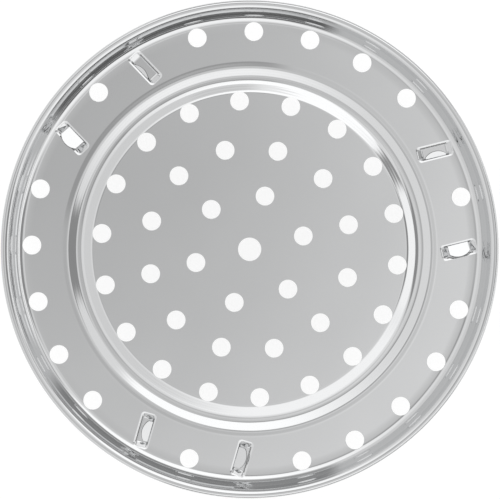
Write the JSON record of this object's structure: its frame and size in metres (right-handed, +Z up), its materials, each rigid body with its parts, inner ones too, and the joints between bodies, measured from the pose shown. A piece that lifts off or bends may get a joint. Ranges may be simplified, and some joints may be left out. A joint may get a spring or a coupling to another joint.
{
  "type": "steamer rack",
  "caption": "Round perforated steamer rack: a pressed steel tray with a rolled rim and raised centre, standing on detachable U-shaped strip legs hooked into pressed loops.",
  "frame": {"origin": "on the surface that the feet stand on, under the centre of the tray", "axes": "+Z up along the tray's axis, the front leg towards -Y, +X to the right"},
  "size_m": [0.2398, 0.2398, 0.055],
  "materials": {
    "tray_steel": "mirror-polished stainless sheet",
    "leg_steel": "polished spring stainless strip"
  },
  "bodies": {
    "tray": {"tray": "tray_steel"},
    "front_leg": {"front_leg": "leg_steel"},
    "right_leg": {"right_leg": "leg_steel"},
    "left_leg": {"left_leg": "leg_steel"}
  },
  "joints": [
    {"name": "front_leg_rock", "type": "hinge", "parent": "tray", "child": "front_leg", "pos_m": [0, -0.0985, 0.09166], "axis": [0, -1, 0], "range_deg": [-3, 3]},
    {"name": "right_leg_rock", "type": "hinge", "parent": "tray", "child": "right_leg", "pos_m": [0.0853, 0.04925, 0.09166], "axis": [0.866, 0.5, 0], "range_deg": [-2, 3.5]},
    {"name": "left_leg_rock", "type": "hinge", "parent": "tray", "child": "left_leg", "pos_m": [-0.0853, 0.04925, 0.09166], "axis": [-0.866, 0.5, 0], "range_deg": [-3.5, 1]}
  ]
}
